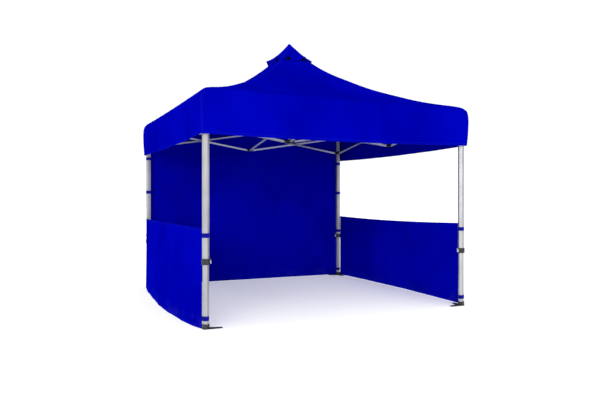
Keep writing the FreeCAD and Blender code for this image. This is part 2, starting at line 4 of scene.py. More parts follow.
import bpy
import numpy as np
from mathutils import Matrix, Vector


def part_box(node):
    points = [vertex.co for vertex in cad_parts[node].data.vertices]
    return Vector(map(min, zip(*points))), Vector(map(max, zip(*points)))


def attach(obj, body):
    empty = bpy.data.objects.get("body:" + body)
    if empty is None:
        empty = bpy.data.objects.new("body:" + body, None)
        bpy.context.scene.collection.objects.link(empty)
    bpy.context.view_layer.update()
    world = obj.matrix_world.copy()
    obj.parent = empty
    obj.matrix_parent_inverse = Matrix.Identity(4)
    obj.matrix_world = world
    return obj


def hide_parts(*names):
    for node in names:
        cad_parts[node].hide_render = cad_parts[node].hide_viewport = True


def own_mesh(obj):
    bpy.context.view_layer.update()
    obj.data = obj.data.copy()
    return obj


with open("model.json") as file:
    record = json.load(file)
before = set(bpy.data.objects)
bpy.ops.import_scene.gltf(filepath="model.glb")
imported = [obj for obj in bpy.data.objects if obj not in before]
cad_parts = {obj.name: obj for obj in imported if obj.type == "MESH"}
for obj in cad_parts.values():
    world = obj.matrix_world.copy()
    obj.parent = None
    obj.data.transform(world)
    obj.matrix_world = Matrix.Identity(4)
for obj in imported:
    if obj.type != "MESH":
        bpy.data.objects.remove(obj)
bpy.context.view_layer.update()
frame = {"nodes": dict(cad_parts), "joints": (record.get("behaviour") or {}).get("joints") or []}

# Pop-up canopy. Metres, +Z up, the ground is z = 0, and the open front faces -Y.
# Pieces are designed in the front side's frame and turned by quarters to the other three sides.

JOINTS = {joint["name"]: joint for joint in frame["joints"]}
SIDES = ("front", "right", "back", "left")
CORNERS = ("front_right", "back_right", "back_left", "front_left")
UP = np.array((0.0, 0.0, 1.0))
UV_NAME = "cloth"
EDGE_NAME = "edge_distance"

# sewing, in every cloth piece's geometry and in its material
HEM_BAND = 0.027
STITCH_ROWS = (0.004, 0.023)
STITCH_PITCH = 0.0042
PUCKER_PITCH = 0.013
RIB_PITCH = 0.0021


def centre_of(node):
    low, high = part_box(node)
    return (low + high) / 2


LEG_HALF = centre_of("outer_leg_front_right").x
CANOPY_LOW, CANOPY_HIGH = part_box("canopy")
CAP_LOW, CAP_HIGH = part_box("vent_cap")
EAVE_HALF = CANOPY_HIGH.x
HEM_HEIGHT = CANOPY_LOW.z
VENT_HEIGHT = CANOPY_HIGH.z
VENT_HALF = 0.180
MAST_DROP = JOINTS["mast_slide"]["range_m"][1]


def folded_leg_half():
    """How far the legs stand from the middle planes when the frame is folded."""
    pivot, end = (
        Vector(JOINTS[name]["pos_m"]) for name in ("fold", "fold_lower_middle_front")
    )
    bar = Vector((abs(end.y) - abs(pivot.y), pivot.z - end.z))
    angle = math.atan2(bar.y, bar.x) + math.radians(JOINTS["fold"]["range_deg"][1])
    return abs(pivot.y) + bar.length * math.cos(angle) + LEG_HALF - abs(end.y)


FOLDED_HALF = folded_leg_half()


# ---- materials -------------------------------------------------------------------------------


class Nodes:
    """Short ways to make and join the nodes of one material."""

    def __init__(self, name):
        self.material = bpy.data.materials.new(name)
        self.material.use_nodes = True
        self.tree = self.material.node_tree
        self.shader = self.tree.nodes["Principled BSDF"]

    def put(self, socket, value):
        if isinstance(value, bpy.types.NodeSocket):
            self.tree.links.new(value, socket)
        else:
            socket.default_value = value

    def make(self, kind, output=0, settings=None, **inputs):
        node = self.tree.nodes.new("ShaderNode" + kind)
        for key, value in (settings or {}).items():
            setattr(node, key, value)
        for key, value in inputs.items():
            self.put(node.inputs[key.replace("_", " ")], value)
        return node.outputs[output]

    def parts(self, vector):
        """A vector's x, y and z."""
        node = self.tree.nodes.new("ShaderNodeSeparateXYZ")
        self.put(node.inputs[0], vector)
        return list(node.outputs)

    def math(self, operation, first, second=0.0):
        node = self.tree.nodes.new("ShaderNodeMath")
        node.operation = operation
        self.put(node.inputs[0], first)
        self.put(node.inputs[1], second)
        return node.outputs[0]

    def ranged(self, value, low, high, to_low=0.0, to_high=1.0):
        return self.make(
            "MapRange", settings={"interpolation_type": "SMOOTHSTEP"}, Value=value,
            From_Min=low, From_Max=high, To_Min=to_low, To_Max=to_high,
        )

    def mixed(self, share, first, second):
        node = self.tree.nodes.new("ShaderNodeMix")
        node.data_type = "RGBA"
        for number, value in ((0, share), (6, first), (7, second)):
            self.put(node.inputs[number], value)
        return node.outputs[2]

    def noise(self, scale, detail=3.0, roughness=0.55, where=None):
        where = where or self.make("TexCoord", "Object")
        return self.make("TexNoise", Vector=where, Scale=scale, Detail=detail,
                         Roughness=roughness)

    def bump(self, height, strength, distance, normal=None):
        inputs = {"Height": height, "Strength": strength, "Distance": distance}
        if normal is not None:
            inputs["Normal"] = normal
        return self.make("Bump", **inputs)

    def finish(self, **inputs):
        for key, value in inputs.items():
            self.put(self.shader.inputs[key.replace("_", " ")], value)
        return self.material


def line_at(nodes, edge, place, inner, outer):
    """1 on the line that runs at one distance from the sewn edge, falling to 0 beside it."""
    away = nodes.math("ABSOLUTE", nodes.math("SUBTRACT", edge, place))
    return nodes.ranged(away, inner, outer, 1.0, 0.0)


def cloth_uv(nodes):
    """The cloth's own coordinates, in metres."""
    return nodes.make("UVMap", settings={"uv_map": UV_NAME})


def edge_distance(nodes):
    return nodes.make("Attribute", "Fac", settings={"attribute_name": EDGE_NAME})


def stitching(nodes, edge, diagonal):
    """Two rows of dashes beside the edge. diagonal runs along every edge at the same pace."""
    dash = nodes.math("FRACT", nodes.math("MULTIPLY", diagonal, 1 / STITCH_PITCH))
    dash = nodes.math("MULTIPLY", nodes.ranged(dash, 0.0, 0.08),
                      nodes.ranged(dash, 0.62, 0.70, 1.0, 0.0))
    rows = [line_at(nodes, edge, place, 0.0004, 0.0010) for place in STITCH_ROWS]
    return nodes.math("MULTIPLY", nodes.math("MAXIMUM", *rows), dash)


def cloth_colour(nodes, blue, edge, weave, fine, stitches, fold_line):
    """Blue that varies with dye and thread, rubbed at the edge and dusty low down, with painted shade
    in the weave's troughs and along the hem's fold line.
    """
    colour = nodes.mixed(nodes.ranged(nodes.noise(1.1, 3.0, 0.6), 0.30, 0.70),
                         (0.0, 0.0, blue * 0.80, 1), (0.0, 0.001, blue * 1.10, 1))
    height = nodes.parts(nodes.make("TexCoord", "Object"))[2]
    dust = nodes.math("MULTIPLY", nodes.ranged(height, 0.02, 0.16, 1.0, 0.0),
                      nodes.ranged(nodes.noise(9.0, 6.0, 0.7), 0.45, 0.75))
    rub = nodes.math("MULTIPLY", nodes.ranged(edge, 0.0, 0.0035, 1.0, 0.0),
                     nodes.ranged(nodes.noise(60.0, 4.0), 0.45, 0.65))
    layers = (
        (nodes.ranged(fine, 0.35, 0.75), 0.18, (0.0, 0.0, blue * 0.72, 1)),
        # painted shade: darker where the weave's relief is low
        (nodes.ranged(weave, -0.6, 0.7, 1.0, 0.0), 0.16, (0.0, 0.0, blue * 0.62, 1)),
        # painted shade along the hem's fold line
        (fold_line, 0.45, (0.0, 0.0, blue * 0.45, 1)),
        (stitches, 0.75, (0.02, 0.03, blue * 1.6, 1)),
        (dust, 0.10, (0.10, 0.10, 0.16, 1)),
        (rub, 0.20, (0.02, 0.02, blue * 1.35, 1)),
    )
    for mask, amount, over in layers:
        colour = nodes.mixed(nodes.math("MULTIPLY", mask, amount), colour, over)
    return colour


def cloth_material(name, blue, pitch, crumple):
    """Coated polyester: a plain weave, soft creases, sewn hems and a little dust near the ground."""
    nodes = Nodes(name)
    both = cloth_uv(nodes)
    along, up, _ = nodes.parts(both)
    edge = edge_distance(nodes)
    diagonal = nodes.math("ADD", along, up)
    threads = [nodes.math("SINE", nodes.math("MULTIPLY", axis, math.tau / pitch))
               for axis in (along, up)]
    weave = nodes.math("MULTIPLY", *threads)
    fibres = nodes.noise(900.0, 2.0, where=both)
    stitches = stitching(nodes, edge, diagonal)
    # the hem's fold line: sunk by the bump, and painted darker in the colour as shade
    fold_line = line_at(nodes, edge, HEM_BAND, 0.0, 0.0016)
    pucker = nodes.math(
        "MULTIPLY", nodes.ranged(edge, 0.0, 0.060, 1.0, 0.0),
        nodes.math("SINE", nodes.math("MULTIPLY", diagonal, math.tau / PUCKER_PITCH)),
    )
    fine = nodes.noise(26.0, 5.0, 0.65)
    creases = nodes.math("ABSOLUTE", nodes.math("SUBTRACT", nodes.noise(2.3, 2.0, 0.45), 0.5))
    creases = nodes.ranged(creases, 0.0, 0.07)

    normal = nodes.bump(creases, 0.22 * crumple, 0.012)
    normal = nodes.bump(nodes.noise(7.0, 4.0, 0.5), 0.16 * crumple, 0.006, normal)
    normal = nodes.bump(pucker, 0.35, 0.0010, normal)
    normal = nodes.bump(nodes.math("SUBTRACT", stitches, fold_line), 0.7, 0.0005, normal)
    threads_high = nodes.math("ADD", weave, nodes.math("MULTIPLY", fibres, 0.8))
    normal = nodes.bump(threads_high, 0.35, 0.00018, normal)
    return nodes.finish(
        Base_Color=cloth_colour(nodes, blue, edge, weave, fine, stitches, fold_line),
        Roughness=nodes.ranged(fine, 0.3, 0.8, 0.58, 0.74), Normal=normal,
        Specular_IOR_Level=0.0, IOR=1.45,
    )


def metal_material(name, light, dark, rough, metallic, drawn_axis=2, speckle=0.0):
    """Satin metal: fine drawing lines along one axis, faint stains and handling marks."""
    nodes = Nodes(name)
    where = nodes.make("TexCoord", "Object")
    stretch = [180.0, 180.0, 180.0]
    stretch[drawn_axis] = 1.5
    stretched = nodes.make("Mapping", Vector=where, Scale=stretch)
    drawn = nodes.make("TexNoise", Vector=stretched, Scale=4.0, Detail=3.0)
    stain = nodes.noise(5.0, 5.0, 0.6)
    marks = nodes.ranged(nodes.noise(38.0, 7.0, 0.72), 0.66, 0.74)
    colour = nodes.mixed(nodes.ranged(stain, 0.3, 0.7), (*light, 1), (*dark, 1))
    colour = nodes.mixed(nodes.math("MULTIPLY", marks, 0.35), colour,
                         (dark[0] * 0.62, dark[1] * 0.62, dark[2] * 0.62, 1))
    lines = nodes.math("MULTIPLY", nodes.ranged(drawn, 0.40, 0.62), 0.12)
    colour = nodes.mixed(lines, colour, (dark[0] * 0.80, dark[1] * 0.80, dark[2] * 0.82, 1))
    normal = nodes.bump(drawn, 0.20, 0.0003)
    if speckle:
        normal = nodes.bump(nodes.noise(1400.0, 2.0), speckle, 0.0002, normal)
    roughness = nodes.math("ADD", nodes.ranged(stain, 0.2, 0.8, rough - 0.05, rough + 0.06),
                           nodes.math("MULTIPLY", marks, 0.12))
    return nodes.finish(Base_Color=colour, Roughness=roughness, Metallic=metallic, Normal=normal,
                        IOR=1.5)


def plastic_material(name, light, dark, rough=0.5, worn=(0.16, 0.16, 0.17)):
    """Moulded nylon with a fine spark-eroded grain, flow marks, and rubbed paler at its edges."""
    nodes = Nodes(name)
    grain = nodes.noise(1500.0, 3.0, 0.6)
    flow = nodes.noise(22.0, 4.0, 0.5)
    colour = nodes.mixed(nodes.ranged(flow, 0.3, 0.7), (*dark, 1), (*light, 1))
    pointed = nodes.make("NewGeometry", "Pointiness")
    edges = nodes.math("MULTIPLY", nodes.ranged(pointed, 0.53, 0.60),
                       nodes.ranged(nodes.noise(90.0, 4.0), 0.40, 0.62))
    colour = nodes.mixed(nodes.math("MULTIPLY", edges, 0.5), colour, (*worn, 1))
    scuffs = nodes.ranged(nodes.noise(120.0, 6.0, 0.75), 0.64, 0.72)
    colour = nodes.mixed(nodes.math("MULTIPLY", scuffs, 0.18), colour, (*worn, 1))
    normal = nodes.bump(grain, 0.30, 0.00025)
    normal = nodes.bump(flow, 0.06, 0.0008, normal)
    return nodes.finish(Base_Color=colour, Normal=normal, IOR=1.5, Specular_IOR_Level=0.25,
                        Roughness=nodes.ranged(flow, 0.2, 0.8, rough - 0.06, rough + 0.08))


def mesh_material(name):
    """Black net over the vent: small holes in a knitted grid, seen as a fine relief, with the holes
    painted darker as the shade seen through them.
    """
    nodes = Nodes(name)
    cells = nodes.make("TexVoronoi", settings={"feature": "F1"}, Vector=cloth_uv(nodes),
                       Scale=420.0, Randomness=0.25)
    holes = nodes.ranged(cells, 0.25, 0.42, 1.0, 0.0)
    # painted shade: the holes are darker than the threads
    colour = nodes.mixed(holes, (0.012, 0.012, 0.022, 1), (0.001, 0.001, 0.004, 1))
    stain = nodes.ranged(nodes.noise(14.0), 0.3, 0.8, 0.0, 0.3)
    colour = nodes.mixed(stain, colour, (0.0, 0.0, 0.03, 1))
    return nodes.finish(Base_Color=colour, Roughness=0.8, Normal=nodes.bump(holes, -0.6, 0.0006),
                        Specular_IOR_Level=0.2)


def webbing_material(name, blue):
    """Strap webbing: a ribbed weave across the strap, with painted shade in the grooves between the
    ribs, and the fuzzy hook-and-loop face.
    """
    nodes = Nodes(name)
    both = cloth_uv(nodes)
    ribs = nodes.math("SINE", nodes.math("MULTIPLY", nodes.parts(both)[0], math.tau / RIB_PITCH))
    # painted shade: the grooves between the ribs are darker
    rib_groove_shade = nodes.math("MULTIPLY", nodes.ranged(ribs, -0.8, 0.2, 1.0, 0.0), 0.35)
    fuzz = nodes.noise(1100.0, 4.0, 0.7, where=both)
    seam = line_at(nodes, edge_distance(nodes), STITCH_ROWS[0], 0.0004, 0.0010)
    colour = nodes.mixed(nodes.ranged(fuzz, 0.3, 0.7), (0.0, 0.0, blue * 0.7, 1),
                         (0.001, 0.002, blue * 1.15, 1))
    colour = nodes.mixed(rib_groove_shade, colour, (0.0, 0.0, blue * 0.45, 1))
    colour = nodes.mixed(nodes.math("MULTIPLY", seam, 0.6), colour, (0.02, 0.03, blue * 1.5, 1))
    normal = nodes.bump(ribs, 0.4, 0.0005)
    normal = nodes.bump(fuzz, 0.35, 0.0006, normal)
    return nodes.finish(Base_Color=colour, Roughness=0.85, Normal=normal, Specular_IOR_Level=0.1,
                        Sheen_Weight=0.04)


CLOTH_BLUE = 0.36
roof_cloth = cloth_material("roof_polyester", CLOTH_BLUE, pitch=0.0011, crumple=0.5)
wall_cloth = cloth_material("wall_polyester", CLOTH_BLUE, pitch=0.0009, crumple=0.5)
vent_net = mesh_material("vent_net")
webbing = webbing_material("strap_webbing", CLOTH_BLUE * 0.75)
leg_metal = metal_material("leg_aluminium", (0.40, 0.40, 0.41), (0.34, 0.34, 0.36), 0.38, 0.60)
# the bars are lighter and bluer than the other aluminium: painted light, the blue bounce from the
# canopy and a brightness for the light under it
bar_metal = metal_material("bar_aluminium", (0.68, 0.68, 0.76), (0.60, 0.60, 0.68), 0.36, 0.25,
                           drawn_axis=0)
mast_metal = metal_material("mast_aluminium", (0.78, 0.78, 0.81), (0.70, 0.70, 0.73), 0.30, 0.85)
steel = metal_material("zinc_plated_steel", (0.66, 0.66, 0.64), (0.52, 0.52, 0.50), 0.28, 1.0,
                       speckle=0.12)
black_nylon = plastic_material("black_nylon", (0.016, 0.016, 0.017), (0.009, 0.009, 0.010),
                               worn=(0.07, 0.07, 0.075))
foot_coat = plastic_material("black_powder_coat", (0.014, 0.014, 0.015), (0.008, 0.008, 0.009),
                             rough=0.48, worn=(0.10, 0.095, 0.09))
lever_nylon = plastic_material("pale_grey_nylon", (0.62, 0.63, 0.65), (0.52, 0.53, 0.55),
                               rough=0.40, worn=(0.75, 0.75, 0.76))


# ---- CAD nodes: materials, by which solid each face belongs to -------------------------------


def face_centres(node):
    mesh = frame["nodes"][node].data
    centres = np.zeros(len(mesh.polygons) * 3)
    mesh.polygons.foreach_get("center", centres)
    return centres.reshape(-1, 3)


def paint(node, materials, which=None):
    """Gives a CAD node its materials. which holds each face's number in materials."""
    mesh = frame["nodes"][node].data
    mesh.materials.clear()
    for material in materials:
        mesh.materials.append(material)
    if which is None:
        which = np.zeros(len(mesh.polygons), int)
    mesh.polygons.foreach_set("material_index", which.astype(np.int32))
    mesh.update()


def near_axis(centres, position, axis, radius, half_length):
    """Which points lie within a radius of an axis, and within a half length of a point on it."""
    axis = np.array(axis) / np.linalg.norm(axis)
    offset = centres - np.array(position)
    along = offset @ axis
    away = np.linalg.norm(offset - np.outer(along, axis), axis=1)
    return (away < radius) & (np.abs(along) < half_length)


# limits that tell one solid's faces from the next one's, each close to the solid's own size
TOUCH = 0.001
PIN_RADIUS, PIN_HALF = 0.0056, 0.020
LEVER_PIN_RADIUS, LEVER_PIN_HALF = 0.0021, 0.014
WASHER_REACH, BAR_HALF = 0.012, 0.0061
RIVET_RADIUS, RIVET_HEAD_RADIUS, RIVET_HEAD = 0.0031, 0.0058, 0.0021
FOOT_TOP = 0.047
MAST_HEAD = 0.0161
LOWER_MAST_RADIUS, LOWER_HUB_HALF = 0.0127, 0.020

# the heights of the truss's upper and lower pivots
UPPER = JOINTS["fold"]["pos_m"][2]
LOWER = JOINTS["fold_lower_middle_front"]["pos_m"][2]


def pivot_height(node):
    return UPPER if node.startswith(("upper", "leg_fittings")) else LOWER


def turned(point, quarter):
    """A point or direction turned about Z by quarters of a turn."""
    x, y = point[0], point[1]
    for _ in range(quarter % 4):
        x, y = -y, x
    return (x, y, *point[2:])


def pin_lines():
    """Every truss pivot, as a point on its axis and the axis: four sides, two heights."""
    inner_y = JOINTS["fold"]["pos_m"][1]
    middle_y = JOINTS["fold_lower_middle_front"]["pos_m"][1]
    side_x = [JOINTS[name]["pos_m"][0]
              for name in ("fold_low_bar_front_right", "fold_leg_front_right")]
    lines = []
    for quarter in range(4):
        for height in (UPPER, LOWER):
            for y in (inner_y, middle_y):
                lines.append((turned((0.0, y, height), quarter), turned((1, 0, 0), quarter)))
            for x in side_x:
                for sign in (-1, 1):
                    place = (sign * x, -LEG_HALF, height)
                    lines.append((turned(place, quarter), turned((0, 1, 0), quarter)))
    return lines


PIN_LINES = pin_lines()


def paint_connector(node):
    """For a moulding: 0 its nylon, 1 its steel pins, which lie on the truss pivots inside its box."""
    centres = face_centres(node)
    low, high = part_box(node)
    which = np.zeros(len(centres), int)
    for position, axis in PIN_LINES:
        inside = all(low[k] - TOUCH < position[k] < high[k] + TOUCH for k in (0, 1))
        if inside and abs(position[2] - pivot_height(node)) < TOUCH:
            which[near_axis(centres, position, axis, PIN_RADIUS, PIN_HALF)] = 1
    return which


def crossing_parts(node, joint_name):
    """For a low bar: 0 its tube, 1 its rivet, 2 its washers, from the crossing joint's axis."""
    joint = JOINTS[joint_name]
    axis = np.array(joint["axis"], float)
    offset = face_centres(node) - np.array(joint["pos_m"])
    along = offset @ axis
    away = np.linalg.norm(offset - np.outer(along, axis), axis=1)
    tube_middle = np.median(along)
    outside = (away < WASHER_REACH) & (np.abs(along - tube_middle) > BAR_HALF)
    rivet_head = (np.abs(along) > np.abs(along).max() - RIVET_HEAD) & (away < RIVET_HEAD_RADIUS)
    which = np.where(outside, 2, 0)
    which[outside & ((away < RIVET_RADIUS) | rivet_head)] = 1
    return which


for node in frame["nodes"]:
    if "wall" in node or node in ("canopy", "vent_cap"):
        continue
    if "low_bar" in node:
        cross = node.replace("inner_low_bar_", "cross_inner_").replace("low_bar_", "cross_")
        paint(node, [bar_metal, steel, black_nylon], crossing_parts(node, cross))
    elif "high_bar" in node:
        paint(node, [bar_metal])
    elif node.startswith("outer_leg"):
        paint(node, [leg_metal])
    elif node.startswith("inner_leg"):
        low_faces = face_centres(node)[:, 2] < FOOT_TOP
        paint(node, [leg_metal, foot_coat], low_faces.astype(int))
    elif node == "upper_mast":
        head = face_centres(node)[:, 2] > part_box(node)[1].z - MAST_HEAD
        paint(node, [mast_metal, black_nylon], head.astype(int))
    elif node.startswith("lock_lever"):
        paint(node, [lever_nylon])
    elif node.startswith("leg_fittings"):
        which = paint_connector(node)
        lever = JOINTS[node.replace("leg_fittings", "unlock")]
        which[near_axis(face_centres(node), lever["pos_m"], lever["axis"], LEVER_PIN_RADIUS,
                        LEVER_PIN_HALF)] = 1
        paint(node, [black_nylon, steel], which)
    elif node == "lower_hub":
        which = paint_connector(node)
        centres = face_centres(node)
        near_middle = np.hypot(centres[:, 0], centres[:, 1]) < LOWER_MAST_RADIUS
        which[near_middle & (centres[:, 2] > LOWER + LOWER_HUB_HALF)] = 2
        paint(node, [black_nylon, steel, mast_metal], which)
    else:
        paint(node, [black_nylon, steel], paint_connector(node))


# ---- cloth builder ---------------------------------------------------------------------------


def winds_outwards(grid):
    """Whether a grid's quads, taken along its rows, already face the way its normals do."""
    points = grid["points"]
    row, column = points.shape[0] // 2, points.shape[1] // 2
    along = points[row, column] - points[row, column - 1]
    down = points[row, column] - points[row - 1, column]
    return np.dot(np.cross(along, down), grid["normals"][row, column]) > 0


def cloth_piece(name, grids, material):
    """One mesh of thin closed cloth. Each grid holds rows x columns of points, unit normals,
    UVs in metres, distances to the nearest sewn edge, and thicknesses."""
    points, normals, uvs, edges, faces = [], [], [], [], []
    for grid in grids:
        rows, columns = grid["points"].shape[:2]
        start = len(points)
        outer = grid["points"].reshape(-1, 3)
        facing = grid["normals"].reshape(-1, 3)
        thick = np.broadcast_to(grid["thick"], (rows, columns)).reshape(-1, 1)
        inner = outer - facing * thick
        count = len(outer)
        points.extend(np.vstack((outer, inner)))
        normals.extend(np.vstack((facing, -facing)))
        for data, key in ((uvs, "uv"), (edges, "edge")):
            flat = grid[key].reshape(count, -1)
            data.extend(np.vstack((flat, flat)))
        number = np.arange(count).reshape(rows, columns) + start
        quads = np.stack(
            (number[:-1, :-1], number[:-1, 1:], number[1:, 1:], number[1:, :-1]), -1
        ).reshape(-1, 4)
        if not winds_outwards(grid):
            quads = quads[:, ::-1]
        faces.extend(quads)
        faces.extend(quads[:, ::-1] + count)
        # the rim joins the two layers all round, where a quad's side has no neighbour
        sides = [pair for quad in quads for pair in zip(quad, np.roll(quad, -1))]
        known = set(sides)
        for first, second in sides:
            if (second, first) not in known:
                faces.append(np.array((second, first, first + count, second + count)))
    mesh = bpy.data.meshes.new(name)
    mesh.from_pydata(np.array(points).tolist(), [], np.array(faces).tolist())
    layer = mesh.uv_layers.new(name=UV_NAME)
    corner_points = np.zeros(len(mesh.loops), np.int32)
    mesh.loops.foreach_get("vertex_index", corner_points)
    layer.data.foreach_set("uv", np.array(uvs)[corner_points].astype(np.float32).ravel())
    attribute = mesh.attributes.new(EDGE_NAME, "FLOAT", "POINT")
    attribute.data.foreach_set("value", np.array(edges).astype(np.float32).ravel())
    mesh.polygons.foreach_set("use_smooth", np.ones(len(mesh.polygons), bool))
    mesh.materials.append(material)
    mesh.update()
    mesh.normals_split_custom_set_from_vertices(np.array(normals).tolist())
    piece = bpy.data.objects.new(name, mesh)
    bpy.context.scene.collection.objects.link(piece)
    return piece


def surface_grid(surface, rows, columns, edge, thick):
    """Samples surface(row value, column value) -> point, with normals by differences. edge and
    thick take the same two values. The UVs are distances, along from the middle column."""
    step = 1e-4
    shape = (len(rows), len(columns))
    points, normals = np.zeros((*shape, 3)), np.zeros((*shape, 3))
    for i, row in enumerate(rows):
        for j, column in enumerate(columns):
            points[i, j] = surface(row, column)
            down = surface(row + step, column) - surface(row - step, column)
            over = surface(row, column + step) - surface(row, column - step)
            normal = np.cross(over, down)
            normals[i, j] = normal / np.linalg.norm(normal)
    over_steps = np.linalg.norm(np.diff(points, axis=1), axis=2)
    down_steps = np.linalg.norm(np.diff(points, axis=0), axis=2)
    along = np.hstack((np.zeros((shape[0], 1)), np.cumsum(over_steps, axis=1)))
    down = np.vstack((np.zeros((1, shape[1])), np.cumsum(down_steps, axis=0)))
    row_grid, column_grid = np.meshgrid(rows, columns, indexing="ij")
    return {"points": points, "normals": normals,
            "uv": np.stack((along - along[:, [shape[1] // 2]], down), -1),
            "edge": np.vectorize(edge)(row_grid, column_grid),
            "thick": np.vectorize(thick)(row_grid, column_grid)}


# ---- the canopy: one curved sheet from the vent to the hem -----------------------------------

# half width and height down one side, from the vent over the eave to the hem
PROFILE = np.array([
    (VENT_HALF, VENT_HEIGHT), (0.262, 2.795), (0.356, 2.717), (0.560, 2.584), (0.717, 2.490),
    (0.960, 2.378), (1.140, 2.304), (1.318, 2.250), (1.425, 2.222), (1.475, 2.203),
    (1.506, 2.172), (1.519, 2.130), (EAVE_HALF - 0.0005, 2.075), (1.523, 1.980),
    (1.519, 1.880), (1.512, HEM_HEIGHT),
])
# the knot where the roof's gores end and the valance begins
SHOULDER = 10
# the share of a side where the rounding of its corner begins
CORNER_START = 0.975
CLOTH = 0.0010


def smooth_line(knots):
    """A smooth cubic line through knots, as a function of the distance along their chords."""
    lengths = np.concatenate(([0], np.cumsum(np.linalg.norm(np.diff(knots, axis=0), axis=1))))
    slopes = np.gradient(knots, lengths, axis=0)

    def at(distance):
        distance = min(max(distance, 0.0), lengths[-1])
        k = min(int(np.searchsorted(lengths, distance, side="right")) - 1, len(knots) - 2)
        span = lengths[k + 1] - lengths[k]
        t = (distance - lengths[k]) / span
        return (knots[k] * (2 * t**3 - 3 * t**2 + 1) + knots[k + 1] * (3 * t**2 - 2 * t**3)
                + slopes[k] * span * (t**3 - 2 * t**2 + t)
                + slopes[k + 1] * span * (t**3 - t**2))

    return at, lengths


profile_at, profile_lengths = smooth_line(PROFILE)
ROOF_LENGTH = profile_lengths[SHOULDER]
HEM_LENGTH = profile_lengths[-1]


def contour(across, half, radius):
    """A point on a rounded square, in the front side's frame. across runs from corner to corner."""
    share = min(abs(across), 1.02)
    straight = half - radius
    if share <= CORNER_START:
        x, out = share / CORNER_START * straight, half
    else:
        angle = (share - CORNER_START) / (1 - CORNER_START) * math.pi / 4
        x, out = straight + radius * math.sin(angle), straight + radius * math.cos(angle)
    return math.copysign(x, across), out


def back_left_share(point, half):
    """1 at the back left corner, which is stretched a little higher than the other three, and 0
    from the middle planes on."""
    return (max(0.0, -point[0] / half) * max(0.0, point[1] / half)) ** 2


def canopy_surface(quarter):
    """The canopy's outer face on one side: distance down the profile, and across the side."""
    phase = 1.7 * quarter

    def at(distance, across):
        half, height = profile_at(distance)
        radius = 0.004 + 0.024 * min(1.0, half / 1.3)
        x, out = contour(across, half, radius)
        middle = max(0.0, 1 - across**2)
        roof_share = min(distance / ROOF_LENGTH, 1.0)
        hang = max(0.0, (distance - ROOF_LENGTH) / (HEM_LENGTH - ROOF_LENGTH))
        sag = 0.030 * math.sin(math.pi * roof_share) ** 1.5 if distance < ROOF_LENGTH else 0.0
        sag += 0.008 * roof_share**3 + 0.013 * hang
        # soft tension ripples that run down the slope, and slow waves along the hanging valance
        ripple = 0.0022 * math.sin(11 * x + phase) * math.sin(math.pi * roof_share)
        ripple += 0.0012 * math.sin(23 * x + 6 * distance + 2 * phase) * roof_share
        ripple *= middle
        wave = 0.0050 * math.sin(7.3 * x + phase) + 0.0028 * math.sin(17.0 * x + 2.2 * phase)
        out += wave * hang**1.4 * min(1.0, 6 * middle)
        out -= 0.006 * math.sin(math.pi * hang) * middle
        point = np.array(turned((x, -out, height - sag * middle + ripple * (1 - hang)), quarter))
        return point + UP * 0.035 * math.sin(math.pi * roof_share) * back_left_share(point, half)

    return at


def corner_distance(distance, across):
    return (1 - abs(across)) * profile_at(distance)[0]


def across_values(first, last, count):
    """Column positions between two shares, with more of them round a corner."""
    low, high = max(first, -CORNER_START), min(last, CORNER_START)
    values = list(np.linspace(low, high, count))
    if first < -CORNER_START:
        values = list(np.linspace(first, -CORNER_START, 5))[:-1] + values
    if last > CORNER_START:
        values += list(np.linspace(CORNER_START, last, 5))[1:]
    return values


# how many gores make one slope
GORES = 10
VALANCE_OUT = EAVE_HALF - LEG_HALF
SHOULDER_HALF, SHOULDER_HEIGHT = PROFILE[SHOULDER]
FOLDED_SHOULDER = FOLDED_HALF + VALANCE_OUT
# how far the gores' outer ends rise above their place at rest
FOLDED_RAISE = 0.045


def fold_gore(piece, middle, half_width):
    """Works out how a roof gore would be gathered to the mast as the frame folds: its outer end just
    above the legs' tops while the mast goes down, its inner end short of the mast. Nothing applies
    this; the gore only gets its own copy of its mesh."""
    out = np.array((middle[0], middle[1], 0.0))
    reach = np.linalg.norm(out)
    out /= reach
    sideways = half_width * abs(out[0] * out[1])
    folded = (FOLDED_SHOULDER - sideways) * reach / SHOULDER_HALF
    move = out * (folded - reach) + UP * (MAST_DROP + FOLDED_RAISE)
    length = np.linalg.norm(move)
    axis = move / length
    inner = out * reach * VENT_HALF / SHOULDER_HALF + UP * VENT_HEIGHT
    inner_share = 0.10
    flattened = (1 - inner_share) * length / -np.dot(np.array(middle) - inner, axis)
    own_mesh(piece)


# the rows are closer from here to the eave, where the slope bends more
CLOSER_FROM = 0.75 * ROOF_LENGTH
roof_rows = np.concatenate((np.linspace(0, CLOSER_FROM, 20),
                            np.linspace(CLOSER_FROM, ROOF_LENGTH, 12)[1:]))


def roof_edge(distance, across):
    return min(distance, corner_distance(distance, across))


def roof_thickness(distance, across):
    return 2 * CLOTH if distance < HEM_BAND else CLOTH


def roof_gore(name, quarter, first, last):
    """One gore of a roof slope, between two shares of the side."""
    surface = canopy_surface(quarter)
    columns = across_values(first, last, 7)
    grid = surface_grid(surface, roof_rows, columns, roof_edge, roof_thickness)
    # one weave runs across all the gores of a slope
    halves = np.array([profile_at(distance)[0] for distance in roof_rows])
    grid["uv"] = np.stack(np.broadcast_arrays(np.outer(halves, columns), roof_rows[:, None]), -1)
    gore = cloth_piece(name, [grid], roof_cloth)
    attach(gore, "upper_mast")
    width = SHOULDER_HALF * (last - first)
    fold_gore(gore, surface(ROOF_LENGTH, (first + last) / 2), width / 2)
    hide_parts("canopy")


shares = np.linspace(-1, 1, GORES + 1)
for quarter, side in enumerate(SIDES):
    for number, (first, last) in enumerate(zip(shares[:-1], shares[1:]), start=1):
        roof_gore(f"roof_{side}_{number:02d}", quarter, first, last)


